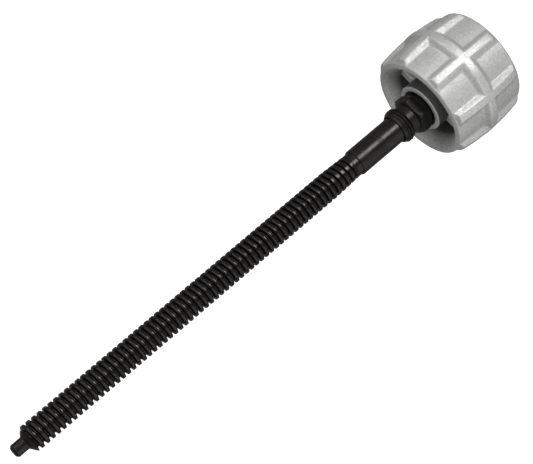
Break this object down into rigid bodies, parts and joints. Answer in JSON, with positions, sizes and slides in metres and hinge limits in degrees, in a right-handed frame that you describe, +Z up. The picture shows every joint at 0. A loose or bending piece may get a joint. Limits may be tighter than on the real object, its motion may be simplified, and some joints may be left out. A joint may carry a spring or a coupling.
{
  "type": "knobbed feed screw",
  "caption": "Long trapezoidal feed screw with a dog point, a hollow ribbed grip knob and a threaded hexagon gland that turns and slides on its shank.",
  "frame": {"origin": "middle of the knob's closed back face, on the screw's axis", "axes": "+Z up the screw's axis, from the knob's back to the dog point; +X and +Y are across the axis, with a rib 9.5 degrees from +X towards +Y"},
  "size_m": [0.058, 0.058, 0.2824],
  "materials": {
    "black_oxide_screw": "black oxide steel, thin oil film",
    "silver_casting": "die casting with a fine sparkling silver coat",
    "black_oxide_gland": "black oxide steel, satin",
    "bronze": "turned bronze",
    "black_washer": "black hardened steel",
    "zinc_washers": "bright zinc plate",
    "black_screw": "black oxide steel"
  },
  "bodies": {
    "screw_and_knob": {"feed_screw": "black_oxide_screw", "grip_knob": "silver_casting", "plain_washer": "zinc_washers", "lock_washer": "zinc_washers", "knob_screw": "black_screw"},
    "washers": {"bearing_washer": "bronze", "thrust_washer": "black_washer"},
    "gland": {"gland_bushing": "black_oxide_gland"}
  },
  "joints": [
    {"name": "gland_slide", "type": "slide", "parent": "screw_and_knob", "child": "washers", "axis": [0, 0, 1], "range_m": [0, 0.0256]},
    {"name": "gland_spin", "type": "hinge", "parent": "washers", "child": "gland", "pos_m": [0, 0, 0.0391], "axis": [0, 0, 1], "continuous": true}
  ]
}
